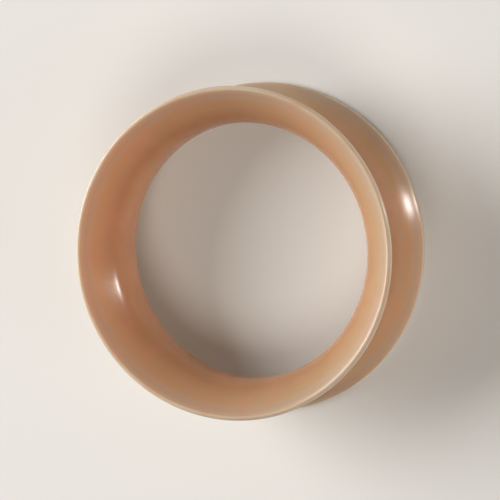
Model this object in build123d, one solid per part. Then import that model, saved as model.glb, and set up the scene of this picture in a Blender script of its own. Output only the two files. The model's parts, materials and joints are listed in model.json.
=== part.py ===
from build123d import *
import os
from math import acos, atan2, cos, degrees, hypot, sin

# Flexible ear tunnel: a double-flared ring, moulded in one piece of soft silicone and worn in a stretched lobe.
# Millimetres, +Z up. The tunnel lies on its lower lip, as it would on a table: its axis is the Z axis and the
# lower lip's edge is at Z = 0. Both ends are alike, so the shape is drawn above the waist and mirrored below it.
# Each face leaves its straight land in a tight curve and runs on to the lip in a gentle one, like a trumpet's.

# Driving dimensions
gauge = 25.0             # outside diameter at the waist, where the lobe sits
waist_wall = 1.0         # wall at the waist, so the bore is 23 mm
flare_reach = 2.5        # how far each flare stands out past the waist
overall_length = 9.8     # along the axis, from one lip's edge to the other's
inner_land = 1.2         # straight stretch of the wall at mid-length
throat_radius = 3.1      # of the tight curve with which the bore's face leaves the land
bell_radius = 31.8       # of the gentle curve with which the bore's face runs on to the lip
lip_thickness = 0.55     # wall at each lip, whose edge is a full round

# Worked out from them
waist_radius = gauge / 2
bore_radius = waist_radius - waist_wall
flare_radius = waist_radius + flare_reach
half_length = overall_length / 2
half_land = inner_land / 2
lip_radius = lip_thickness / 2

# The centre of each lip's round, as a distance from the axis and a height above the waist
lip_out = flare_radius - lip_radius
lip_up = half_length - lip_radius


def lip_turn():
    """The angle that the wall has turned away from the axis when it reaches the lip.

    The bell's curve touches the throat's curve and the lip's round, both from outside. Its centre is as far from
    each of theirs as the radii differ, so the three centres are the corners of a triangle with known sides.
    """
    to_throat, to_lip = bell_radius - throat_radius, bell_radius - lip_radius
    throat_out = bore_radius + throat_radius
    base = hypot(lip_out - throat_out, lip_up - half_land)
    corner = acos((to_throat ** 2 + base ** 2 - to_lip ** 2) / (2 * to_throat * base))
    slope = atan2(lip_up - half_land, lip_out - throat_out) - corner
    bell_out = throat_out + to_throat * cos(slope)
    bell_up = half_land + to_throat * sin(slope)
    return atan2(lip_up - bell_up, bell_out - lip_out)


# The direction across the wall at the lip, from the bore's face to the outer face
turn = lip_turn()
across = (cos(turn), -sin(turn))


def on_arc(centre, radius, angle):
    """The point at which an arc about the centre has turned away from the axis by the angle."""
    return (centre[0] - radius * cos(angle), centre[1] + radius * sin(angle))


def lip_edge(side):
    """Where a face of the flare meets the lip's round: side is 1 on the outer face and -1 on the bore's face."""
    return (lip_out + side * lip_radius * across[0], lip_up + side * lip_radius * across[1])


def gentle_radius(throat, throat_centre, end):
    """Radius of the arc that reaches end at the lip's own turn and touches the throat's arc on its way there.

    Its centre lies across the wall from end, and two arcs that touch from inside have their centres as far
    apart as their radii differ. Squared, that leaves one unknown, the radius, to the first power.
    """
    offset = (end[0] - throat_centre[0], end[1] - throat_centre[1])
    along = offset[0] * across[0] + offset[1] * across[1]
    return (throat ** 2 - offset[0] ** 2 - offset[1] ** 2) / (2 * (along + throat))


def face_points(land_radius, throat, side):
    """One face of the flare: its start at the land, the throat's middle and end, the flare's middle and end."""
    start = (land_radius, half_land)
    end = lip_edge(side)
    throat_centre = (land_radius + throat, half_land)
    gentle = gentle_radius(throat, throat_centre, end)
    gentle_centre = (end[0] + gentle * across[0], end[1] + gentle * across[1])
    join = atan2(throat_centre[1] - gentle_centre[1], gentle_centre[0] - throat_centre[0])
    return [
        start,
        on_arc(throat_centre, throat, join / 2),
        on_arc(throat_centre, throat, join),
        on_arc(gentle_centre, gentle, (join + turn) / 2),
        end,
    ]


def below(points):
    """The same points on the lower half, which mirrors the upper one."""
    return [(out, -up) for out, up in points]


def draw_face(points):
    """Draw the two arcs of one face of a flare."""
    ThreePointArc(points[0], points[1], points[2])
    ThreePointArc(points[2], points[3], points[4])


def wall_section():
    """The ring's whole cross-section: two flared faces, the straight lands, and a full round at each lip."""
    bore_face = face_points(bore_radius, throat_radius, -1)
    outer_face = face_points(waist_radius, throat_radius - waist_wall, 1)
    lip_tip = (lip_out + lip_radius * sin(turn), lip_up + lip_radius * cos(turn))
    with BuildSketch(Plane.XZ) as section:
        with BuildLine():
            for bore_side, outer_side, tip in (
                (bore_face, outer_face, lip_tip),
                (below(bore_face), below(outer_face), below([lip_tip])[0]),
            ):
                draw_face(bore_side)
                ThreePointArc(bore_side[-1], tip, outer_side[-1])
                draw_face(outer_side)
            Line(below(bore_face)[0], bore_face[0])
            Line(below(outer_face)[0], outer_face[0])
        make_face()
    return section.sketch


def ear_tunnel():
    """The moulded ring: the wall's section turned once round the axis, then stood on its lower lip."""
    ring = revolve(wall_section(), axis=Axis.Z, revolution_arc=360)
    return Pos(0, 0, half_length) * ring


def write_parts():
    """Write the one moulded piece as its own file."""
    os.makedirs("parts", exist_ok=True)
    tunnel = ear_tunnel()
    export_step(tunnel, "parts/ear_tunnel.step")
    print(f"ear_tunnel: {tunnel.volume:.1f} mm3, turned by {degrees(turn):.1f} degrees at the lips")


write_parts()
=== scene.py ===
import json
import logging
import math
from dataclasses import dataclass, field
from enum import Enum

import bpy
import numpy as np
from mathutils import Matrix, Vector


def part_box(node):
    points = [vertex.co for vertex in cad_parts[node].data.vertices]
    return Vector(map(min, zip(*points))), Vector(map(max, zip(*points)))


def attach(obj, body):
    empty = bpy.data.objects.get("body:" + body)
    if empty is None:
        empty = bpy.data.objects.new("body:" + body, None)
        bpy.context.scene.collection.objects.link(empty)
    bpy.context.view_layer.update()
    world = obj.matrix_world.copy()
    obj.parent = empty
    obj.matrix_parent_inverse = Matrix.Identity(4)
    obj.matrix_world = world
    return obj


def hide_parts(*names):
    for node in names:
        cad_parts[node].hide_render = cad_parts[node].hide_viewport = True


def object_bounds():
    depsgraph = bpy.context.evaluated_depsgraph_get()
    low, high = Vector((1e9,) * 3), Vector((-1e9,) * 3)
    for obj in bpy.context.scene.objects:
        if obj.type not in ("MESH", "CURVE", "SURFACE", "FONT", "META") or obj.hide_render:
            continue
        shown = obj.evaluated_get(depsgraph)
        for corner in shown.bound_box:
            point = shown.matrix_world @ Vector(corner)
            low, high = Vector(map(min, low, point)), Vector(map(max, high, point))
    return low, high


# The looks of a flexible ear tunnel: a thin ring of soft moulded silicone with a flare at each end, lying on
# a pale floor under soft studio light. Lengths are metres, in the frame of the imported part, whose origin is
# on the ring's axis at the height of its lower lip. Sizes that a maker gives in millimetres are written
# times MM.

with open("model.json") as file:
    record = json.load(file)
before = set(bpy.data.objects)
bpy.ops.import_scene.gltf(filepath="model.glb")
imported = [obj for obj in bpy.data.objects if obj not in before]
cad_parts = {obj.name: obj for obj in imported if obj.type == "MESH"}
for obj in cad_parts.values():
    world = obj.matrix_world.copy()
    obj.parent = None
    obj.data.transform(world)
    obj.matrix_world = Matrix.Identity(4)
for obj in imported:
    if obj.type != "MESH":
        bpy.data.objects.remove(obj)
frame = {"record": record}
cad_low, cad_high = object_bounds()

MM = 0.001
SRGB_KNEE = 0.04045
WALL_ATTRIBUTE = "wall"

log = logging.getLogger("ear_tunnel")


def linear(hex_colour: str) -> tuple[float, float, float, float]:
    """Turn an sRGB hex colour into linear red, green, blue and an alpha of one.

    Each channel under the knee is divided by 12.92. Above it, the channel plus 0.055 is divided by 1.055 and
    raised to the power 2.4.

    Args:
        hex_colour: six hex digits after a hash sign.

    Returns:
        The four numbers that a colour socket takes.
    """
    digits = hex_colour.lstrip("#")
    channels = np.array([int(digits[i:i + 2], 16) for i in (0, 2, 4)]) / 255
    curved = ((channels + 0.055) / 1.055) ** 2.4
    red, green, blue = np.where(channels <= SRGB_KNEE, channels / 12.92, curved)
    return (float(red), float(green), float(blue), 1.0)


def add_node(tree: bpy.types.NodeTree, kind: str, label: str, settings: dict | None = None,
             values: dict | None = None, links: dict | None = None) -> bpy.types.Node:
    """Add one shader node, with its settings, the values of its sockets and the links into it.

    Args:
        tree: the node tree that gets the node.
        kind: Blender's name for the kind of node.
        label: plain words for what the node does here.
        settings: attribute name to value.
        values: input socket's name or number to value.
        links: input socket's name or number to the output socket that feeds it.

    Returns:
        The new node.
    """
    node = tree.nodes.new(kind)
    node.label = label
    for name, value in (settings or {}).items():
        setattr(node, name, value)
    for name, value in (values or {}).items():
        node.inputs[name].default_value = value
    for name, source in (links or {}).items():
        tree.links.new(source, node.inputs[name])
    return node


def new_material(name: str) -> tuple[bpy.types.Material, bpy.types.NodeTree]:
    """Start a node material with an empty tree and return both."""
    material = bpy.data.materials.new(name)
    material.use_nodes = True
    material.node_tree.nodes.clear()
    return material, material.node_tree


@dataclass(frozen=True)
class Tone:
    """The silicone's colour where its wall has the given thickness."""

    wall: float
    colour: str


@dataclass(frozen=True)
class MouldedSilicone:
    """Pigmented silicone rubber, straight from a satin-polished mould.

    To the eye it is a skin-like, slightly cloudy tan with light in it: deep and orange where the wall is
    thick, with painted shade that makes it duller and greyer towards the thin lips and a painted off-white
    sheen on their very edge, under a smooth satin gloss that keeps small highlights crisp. The clouds start to
    show where their noise passes cloud_from and are at their full strength at cloud_full.
    """

    # The thinnest tones are painted shade and a painted sheen: greyer where the lips are thin and off-white on
    # their edge.
    tones_with_painted_lip_light: tuple[Tone, ...] = (
        Tone(0.48 * MM, "#CEBBA4"),
        Tone(0.57 * MM, "#B19E87"),
        Tone(0.62 * MM, "#B39876"),
        Tone(0.74 * MM, "#B29370"),
        Tone(0.95 * MM, "#B08764"),
    )
    cloud: str = "#C2977A"
    cloud_strength: float = 0.35
    ior: float = 1.41
    roughness_low: float = 0.20
    roughness_high: float = 0.25
    thickest: float = 1.0 * MM
    edge_wall: float = 0.45 * MM
    full_wall: float = 0.59 * MM
    edge_travel: float = 0.15 * MM
    light_travel: float = 2.2 * MM
    travel_by_colour: tuple[float, float, float] = (1.0, 0.64, 0.45)
    cloud_width: float = 3.5 * MM
    cloud_detail: float = 3.0
    cloud_grain: float = 0.55
    cloud_from: float = 0.45
    cloud_full: float = 0.75
    ripple_width: float = 1.3 * MM
    ripple_detail: float = 2.0
    ripple_grain: float = 0.5
    ripple_height: float = 0.006 * MM

    def travel(self, tree: bpy.types.NodeTree, wall: bpy.types.NodeSocket) -> bpy.types.NodeSocket:
        """How far light goes inside: less in the thin lips, which it leaves before it deepens in colour."""
        return add_node(tree, "ShaderNodeMapRange", "light travel by thickness",
                        values={"From Min": self.edge_wall, "From Max": self.full_wall,
                                "To Min": self.edge_travel, "To Max": self.light_travel},
                        links={"Value": wall}).outputs["Result"]

    def toned(self, tree: bpy.types.NodeTree, wall: bpy.types.NodeSocket) -> bpy.types.NodeSocket:
        """Colour the surface by the wall's thickness, with painted shade and a painted sheen on the thin lips.

        Args:
            tree: the material's node tree.
            wall: the socket that gives the wall's thickness.

        Returns:
            The socket that gives the tone, which goes smoothly from each listed thickness to the next.
        """
        share = add_node(tree, "ShaderNodeMapRange", "share of the thickest wall",
                         values={"From Max": self.thickest}, links={"Value": wall})
        # Painted shade and sheen: this ramp makes the thin lips greyer and their very edge off-white.
        ramp = add_node(tree, "ShaderNodeValToRGB", "tone by thickness",
                        links={"Fac": share.outputs["Result"]})
        ramp.color_ramp.interpolation = "LINEAR"
        stops = ramp.color_ramp.elements
        while len(stops) < len(self.tones_with_painted_lip_light):
            stops.new(1.0)
        for stop, tone in zip(stops, self.tones_with_painted_lip_light):
            stop.position = tone.wall / self.thickest
            stop.color = linear(tone.colour)
        return ramp.outputs["Color"]

    def material(self) -> bpy.types.Material:
        """Build the silicone's node material.

        The tone by thickness, which paints shade and sheen on the thin lips, is clouded a little by noise in
        object space. Roughness follows a finer noise.

        Returns:
            The material.
        """
        material, tree = new_material("moulded_silicone")
        wall = add_node(tree, "ShaderNodeAttribute", "wall thickness",
                        {"attribute_name": WALL_ATTRIBUTE}).outputs["Fac"]
        place = add_node(tree, "ShaderNodeTexCoord", "place on the piece").outputs["Object"]
        clouds = add_node(tree, "ShaderNodeTexNoise", "pigment clouds",
                          values={"Scale": 1 / self.cloud_width, "Detail": self.cloud_detail,
                                  "Roughness": self.cloud_grain},
                          links={"Vector": place})
        clouded = add_node(tree, "ShaderNodeMapRange", "how cloudy",
                           values={"From Min": self.cloud_from, "From Max": self.cloud_full,
                                   "To Max": self.cloud_strength},
                           links={"Value": clouds.outputs["Fac"]})
        colour = add_node(tree, "ShaderNodeMix", "clouded tone", {"data_type": "RGBA"},
                          {"B": linear(self.cloud)},
                          {"Factor": clouded.outputs["Result"], "A": self.toned(tree, wall)})
        ripple = add_node(tree, "ShaderNodeTexNoise", "faint ripple of the mould's polish",
                          values={"Scale": 1 / self.ripple_width, "Detail": self.ripple_detail,
                                  "Roughness": self.ripple_grain},
                          links={"Vector": place})
        roughness = add_node(tree, "ShaderNodeMapRange", "satin, a little uneven",
                             values={"To Min": self.roughness_low, "To Max": self.roughness_high},
                             links={"Value": ripple.outputs["Fac"]})
        bump = add_node(tree, "ShaderNodeBump", "ripple height", values={"Distance": self.ripple_height},
                        links={"Height": ripple.outputs["Fac"]})
        rubber = add_node(tree, "ShaderNodeBsdfPrincipled", "silicone",
                          {"subsurface_method": "RANDOM_WALK"},
                          {"IOR": self.ior, "Subsurface Weight": 1.0,
                           "Subsurface Radius": self.travel_by_colour},
                          {"Base Color": colour.outputs["Result"], "Roughness": roughness.outputs["Result"],
                           "Subsurface Scale": self.travel(tree, wall), "Normal": bump.outputs["Normal"]})
        add_node(tree, "ShaderNodeOutputMaterial", "surface", links={"Surface": rubber.outputs["BSDF"]})
        return material


@dataclass(frozen=True)
class PaleBoard:
    """Matt laminated board, as a photo table has: an even pale grey with no gloss to speak of."""

    colour: str = "#E6E4E0"
    roughness: float = 0.85

    def material(self) -> bpy.types.Material:
        """Build the board's plain material."""
        material, tree = new_material("pale_board")
        board = add_node(tree, "ShaderNodeBsdfPrincipled", "board",
                         values={"Base Color": linear(self.colour), "Roughness": self.roughness})
        add_node(tree, "ShaderNodeOutputMaterial", "surface", links={"Surface": board.outputs["BSDF"]})
        return material


@dataclass(frozen=True)
class WallSection:
    """Half of the ring's cross-section, from mid-length up to one lip and back down.

    Each face starts with a straight land, leaves it in a tight arc, the throat, and runs on in a gentle one.
    Both faces have turned by the same angle where they meet the lip's full round, so every join is smooth.
    """

    waist_radius: float
    bore_radius: float
    flare_radius: float
    half_length: float
    half_land: float
    throat_radius: float
    turn: float
    lip_radius: float
    land_steps: int = 3
    throat_steps: int = 12
    gentle_steps: int = 14
    lip_steps: int = 14

    def along(self) -> np.ndarray:
        """The direction from the wall to the lip's tip, as a distance out and a height."""
        return np.array([math.sin(self.turn), math.cos(self.turn)])

    def across(self) -> np.ndarray:
        """The direction across the wall at the lip, from the bore's face to the outer face."""
        return np.array([math.cos(self.turn), -math.sin(self.turn)])

    def lip_centre(self) -> np.ndarray:
        """Distance from the axis and height above mid-length of the centre of the lip's round."""
        return np.array([self.flare_radius - self.lip_radius, self.half_length - self.lip_radius])

    def face(self, side: int) -> np.ndarray:
        """One face of the wall, from mid-length to the lip.

        A point of either arc at angle a is the arc's centre less its radius times the cosine of a across the
        axis, plus its radius times the sine of a along it. The gentle arc's centre lies across the wall from
        its end, E. With the throat's radius t, the vector o from the throat's centre to E and the part p of
        o that lies across the wall, the two arcs touch if the gentle radius is (t t - o o) / (2 (p + t)).

        Args:
            side: 1 for the outer face and -1 for the bore's face.

        Returns:
            Distances from the axis and heights, one row for each point.
        """
        start, throat = self.bore_radius, self.throat_radius
        if side > 0:
            start, throat = self.waist_radius, throat - (self.waist_radius - self.bore_radius)
        throat_centre = np.array([start + throat, self.half_land])
        end = self.lip_centre() + side * self.lip_radius * self.across()
        offset = end - throat_centre
        gentle = (throat ** 2 - offset @ offset) / (2 * (offset @ self.across() + throat))
        gentle_centre = end + gentle * self.across()
        join = math.atan2(throat_centre[1] - gentle_centre[1], gentle_centre[0] - throat_centre[0])

        land_up = np.linspace(0, self.half_land, self.land_steps + 1)[:-1]
        throat_angle = np.linspace(0, join, self.throat_steps + 1)[:-1]
        gentle_angle = np.linspace(join, self.turn, self.gentle_steps + 1)
        land = np.column_stack([np.full(land_up.size, start), land_up])
        arcs = [centre + radius * np.column_stack([-np.cos(angle), np.sin(angle)])
                for centre, radius, angle in ((throat_centre, throat, throat_angle),
                                              (gentle_centre, gentle, gentle_angle))]
        return np.vstack([land, *arcs])

    def upper_half(self) -> tuple[np.ndarray, np.ndarray, np.ndarray]:
        """The section from the middle of the bore, over the lip, to the middle of the waist.

        A point of the lip at angle a from its tip is the lip's centre plus its radius times the cosine of a
        along the wall and the sine of a across it, and the wall there is the lip's thickness times the sine.
        On the faces, the wall at a point is its distance from the nearest point of the other face.

        Returns:
            Distances from the axis and heights in rows, the wall's thickness at each, and each point's share
            of the way out to the lip, from 0 at mid-length to 1 on the lip.
        """
        bore, outer = self.face(-1), self.face(1)[::-1]
        angle = np.linspace(-math.pi / 2, math.pi / 2, self.lip_steps + 1)[1:-1]
        rounded = np.outer(np.cos(angle), self.along()) + np.outer(np.sin(angle), self.across())
        points = np.vstack([bore, self.lip_centre() + self.lip_radius * rounded, outer])

        apart = np.linalg.norm(bore[:, None] - outer[None], axis=2)
        lip_wall = 2 * self.lip_radius * np.abs(np.sin(angle))
        wall = np.concatenate([apart.min(axis=1), lip_wall, apart.min(axis=0)])
        reach = (points[:, 1] - self.half_land) / (self.half_length - self.half_land)
        return points, wall, np.clip(reach, 0, 1)


@dataclass
class EarTunnel:
    """The ring itself: one piece of silicone, turned round the Z axis.

    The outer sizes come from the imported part's box and its bore, so that the piece lies where the part does.
    """

    node: str = "ear_tunnel"
    slot: str = "silicone"
    waist_wall: float = 1.0 * MM
    inner_land: float = 1.2 * MM
    throat_radius: float = 3.1 * MM
    lip_turn: float = 49.0
    lip_thickness: float = 0.55 * MM
    inside_box: float = 0.002 * MM
    steps_round: int = 320
    lip_sway: float = 0.07 * MM
    lip_wave: float = 0.05 * MM
    sway_orders: tuple[int, ...] = (2, 3, 5, 7)
    seed: int = 25
    finish: MouldedSilicone = field(default_factory=MouldedSilicone)

    def section(self) -> WallSection:
        """The cross-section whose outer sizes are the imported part's."""
        low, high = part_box(self.node)
        bore = next(m for m in frame["record"]["mounts"] if m["kind"] == "bore")
        bore_radius = bore["dims"]["r_mm"] * MM
        return WallSection(waist_radius=bore_radius + self.waist_wall, bore_radius=bore_radius,
                           flare_radius=min(high.x - low.x, high.y - low.y) / 2 - self.inside_box,
                           half_length=(high.z - low.z) / 2 - self.inside_box,
                           half_land=self.inner_land / 2, throat_radius=self.throat_radius,
                           turn=math.radians(self.lip_turn), lip_radius=self.lip_thickness / 2)

    def unevenness(self, angle: np.ndarray, rng: np.random.Generator) -> np.ndarray:
        """A smooth random swing round the ring, as soft rubber lips have.

        It is a sum of sines of a few whole numbers of turns, each with a random start and with a height of
        one over its number, shifted and scaled to lie between 0 and 1.

        Args:
            angle: the angles round the axis.
            rng: the seeded source of the random starts.

        Returns:
            One value for each angle.
        """
        orders = np.array(self.sway_orders)
        starts = rng.uniform(0, 2 * math.pi, orders.size)
        swing = (np.sin(np.outer(angle, orders) + starts) / orders).sum(axis=1)
        return (swing - swing.min()) / np.ptp(swing)

    def surface(self) -> tuple[np.ndarray, np.ndarray]:
        """The closed surface on a grid of angle round the axis by place along the section.

        A grid point lies at its section point's distance from the axis, turned by the angle. Towards the
        lips the distance shrinks by up to lip_sway and the height by up to lip_wave, both times the square
        of the share of the way out, so the waist and bore stay true.

        Returns:
            The points, as angle by place by x, y, z, and the wall's thickness at each place.
        """
        upper, upper_wall, upper_share = self.section().upper_half()
        lower = upper[-2:0:-1] * (1, -1)
        points = np.vstack([upper, lower])
        wall = np.concatenate([upper_wall, upper_wall[-2:0:-1]])
        share = np.concatenate([upper_share, upper_share[-2:0:-1]])
        is_upper = np.arange(len(points)) < len(upper)

        rng = np.random.default_rng(self.seed)
        angle = np.linspace(0, 2 * math.pi, self.steps_round, endpoint=False)
        sway_up, wave_up, sway_down, wave_down = (self.unevenness(angle, rng) for _ in range(4))
        sway = np.where(is_upper, sway_up[:, None], sway_down[:, None]) * share ** 2 * self.lip_sway
        wave = np.where(is_upper, wave_up[:, None], wave_down[:, None]) * share ** 2 * self.lip_wave
        out = points[:, 0] - sway
        up = points[:, 1] - np.sign(points[:, 1]) * wave
        low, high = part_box(self.node)
        centre = (low + high) / 2
        grid = np.stack([centre.x + out * np.cos(angle)[:, None],
                         centre.y + out * np.sin(angle)[:, None],
                         centre.z + up], axis=2)
        return grid, wall

    def mesh(self) -> bpy.types.Mesh:
        """Turn the grid into a closed mesh of quads, with its wall attribute and a UV map.

        The grid closes on itself both ways, so each quad joins a point to the next round the axis and the
        next along the section, counted past the last to the first. U runs once round and V once along the
        section.

        Returns:
            The mesh, smooth all over.
        """
        grid, wall = self.surface()
        rounds, places = grid.shape[:2]
        i, j = np.meshgrid(np.arange(rounds), np.arange(places), indexing="ij")
        i_next, j_next = (i + 1) % rounds, (j + 1) % places
        corners = np.stack([i * places + j, i * places + j_next,
                            i_next * places + j_next, i_next * places + j], axis=2)
        mesh = bpy.data.meshes.new(self.node + "_silicone")
        mesh.from_pydata(grid.reshape(-1, 3), [], corners.reshape(-1, 4))
        u = np.stack([i, i, i + 1, i + 1], axis=2) / rounds
        v = np.stack([j, j + 1, j + 1, j], axis=2) / places
        uv_map = mesh.uv_layers.new(name="round_and_along")
        uv_map.data.foreach_set("uv", np.stack([u, v], axis=3).astype(np.float32).ravel())
        thickness = mesh.attributes.new(WALL_ATTRIBUTE, "FLOAT", "POINT")
        thickness.data.foreach_set("value", np.tile(wall, rounds).astype(np.float32))
        mesh.shade_smooth()
        mesh.validate()
        return mesh

    def build(self) -> bpy.types.Object:
        """Make the piece, dress it and put it in the part's place.

        Returns:
            The finished piece.
        """
        piece = bpy.data.objects.new(self.node + "_skin", self.mesh())
        bpy.context.scene.collection.objects.link(piece)
        piece.data.materials.append(self.finish.material())
        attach(piece, "root")
        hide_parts(self.node)
        low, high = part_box(self.node)
        log.info("%s: %d faces, %.1f mm across", piece.name, len(piece.data.polygons), (high.x - low.x) / MM)
        return piece


class LampShape(Enum):
    """The outline of an area lamp."""

    DISK = "DISK"
    ELLIPSE = "ELLIPSE"


@dataclass(frozen=True)
class Lamp:
    """A soft lamp that points at the ring's middle.

    Azimuth 0 is the side of -Y and 90 that of +X, and elevation is the angle above the floor, in degrees.
    The height is an ellipse's upright size, which a disk doesn't have. A lamp that isn't mirrored lights the
    ring but leaves no image of itself in the gloss, and one without shadow leaves no edge on the floor.
    """

    name: str
    azimuth: float
    elevation: float
    distance: float
    width: float
    watts: float
    colour: str = "#FFFFFF"
    shape: LampShape = LampShape.DISK
    height: float = 0.0
    mirrored: bool = True
    shadow: bool = True

    def build(self, target: Vector) -> bpy.types.Object:
        """Hang the lamp and turn it to the target.

        Args:
            target: the point that the lamp shines at.

        Returns:
            The lamp.
        """
        azimuth, elevation = math.radians(self.azimuth), math.radians(self.elevation)
        away = Vector((math.sin(azimuth) * math.cos(elevation), -math.cos(azimuth) * math.cos(elevation),
                       math.sin(elevation)))
        data = bpy.data.lights.new(self.name, "AREA")
        data.shape = self.shape.value
        data.size = self.width
        data.size_y = self.height
        data.energy = self.watts
        data.color = linear(self.colour)[:3]
        data.use_shadow = self.shadow
        lamp = bpy.data.objects.new(self.name, data)
        lamp.location = target + away * self.distance
        lamp.rotation_mode = "QUATERNION"
        lamp.rotation_quaternion = away.to_track_quat("Z", "Y")
        lamp.visible_glossy = self.mirrored
        bpy.context.scene.collection.objects.link(lamp)
        log.info("lamp %s: %.0f mm wide, %.0f mm away", self.name, self.width / MM, self.distance / MM)
        return lamp


@dataclass
class Studio:
    """The floor, the light and the camera round the ring.

    The camera sees the ring as the photograph does: its axis leans 20.6 degrees from the line of sight, and
    points left and 11.54 degrees down in the picture. The distance is the photograph's, worked out from how
    its near and far flares differ in width, with a longer lens to fill more of the picture.

    The key is small and oval, and gives both crisp highlights of the photograph. The broad side lamp, behind
    the ring, lights the flare's right half and puts a soft sheen on the far sides. The front and overhead
    lamps fill what those two leave dark.
    """

    axis_lean: float = 20.6
    axis_dip: float = 11.54
    camera_distance: float = 392 * MM
    picture_width: float = 45 * MM
    sensor_width: float = 36.0
    clip_start: float = 10 * MM
    floor_width: float = 6.0
    ambient: str = "#F2F1EF"
    ambient_strength: float = 0.03
    board: PaleBoard = field(default_factory=PaleBoard)
    key: Lamp = Lamp("key", azimuth=5.6, elevation=14.6, distance=380 * MM, width=40 * MM, watts=0.53,
                     colour="#FFF9F2", shape=LampShape.ELLIPSE, height=16 * MM, shadow=False)
    front: Lamp = Lamp("front", azimuth=-30, elevation=18, distance=500 * MM, width=300 * MM, watts=0.48,
                       colour="#F1F7FF", mirrored=False)
    side: Lamp = Lamp("side", azimuth=154, elevation=24, distance=500 * MM, width=440 * MM, watts=4.0)
    overhead: Lamp = Lamp("overhead", azimuth=-90, elevation=60, distance=500 * MM, width=300 * MM,
                          watts=0.82, colour="#FFF6EC", mirrored=False)

    def build_floor(self) -> bpy.types.Object:
        """Lay the pale board under the ring, at the height of its lower lip.

        Returns:
            The floor.
        """
        half = self.floor_width / 2
        corners = np.array([(-half, -half), (half, -half), (half, half), (-half, half)])
        mesh = bpy.data.meshes.new("floor")
        mesh.from_pydata(np.column_stack([corners, np.full(4, cad_low.z)]), [], [(0, 1, 2, 3)])
        mesh.materials.append(self.board.material())
        floor = bpy.data.objects.new("floor", mesh)
        bpy.context.scene.collection.objects.link(floor)
        log.info("floor: %.1f m wide", self.floor_width)
        return floor

    def build_ambient(self) -> None:
        """Fill the room with even pale light."""
        world = bpy.data.worlds.new("studio")
        world.use_nodes = True
        background = world.node_tree.nodes["Background"]
        background.inputs["Color"].default_value = linear(self.ambient)
        background.inputs["Strength"].default_value = self.ambient_strength
        bpy.context.scene.world = world

    def build_camera(self, target: Vector) -> bpy.types.Object:
        """Set the camera at the photograph's angle and distance, looking at the target.

        The camera starts above the target, looking down. It tips back by the axis's lean, so that it stands
        on the side of -Y, and then turns about its own line of sight by a right angle and the axis's dip, so
        that the ring's axis points left and down.

        Args:
            target: the point in the middle of the picture.

        Returns:
            The camera, which is the scene's own.
        """
        tipped = Matrix.Rotation(math.radians(self.axis_lean), 4, "X")
        rolled = Matrix.Rotation(-math.radians(90 + self.axis_dip), 4, "Z")
        data = bpy.data.cameras.new("camera")
        data.sensor_width = self.sensor_width
        data.lens = self.sensor_width * self.camera_distance / self.picture_width
        data.clip_start = self.clip_start
        camera = bpy.data.objects.new("camera", data)
        back = tipped @ Vector((0, 0, self.camera_distance))
        camera.matrix_world = Matrix.Translation(target + back) @ tipped @ rolled
        bpy.context.scene.collection.objects.link(camera)
        bpy.context.scene.camera = camera
        log.info("camera: %.0f mm lens at %.0f mm", data.lens, self.camera_distance / MM)
        return camera

    def build(self) -> None:
        """Make the floor, the light and the camera."""
        target = (cad_low + cad_high) / 2
        self.build_floor()
        self.build_ambient()
        for lamp in (self.key, self.front, self.side, self.overhead):
            lamp.build(target)
        self.build_camera(target)
        bpy.context.scene.view_settings.view_transform = "Standard"


def main() -> None:
    """Build the ring and the studio."""
    logging.basicConfig(level=logging.INFO, format="%(name)s: %(message)s")
    EarTunnel().build()
    Studio().build()


if __name__ == "__main__":
    main()
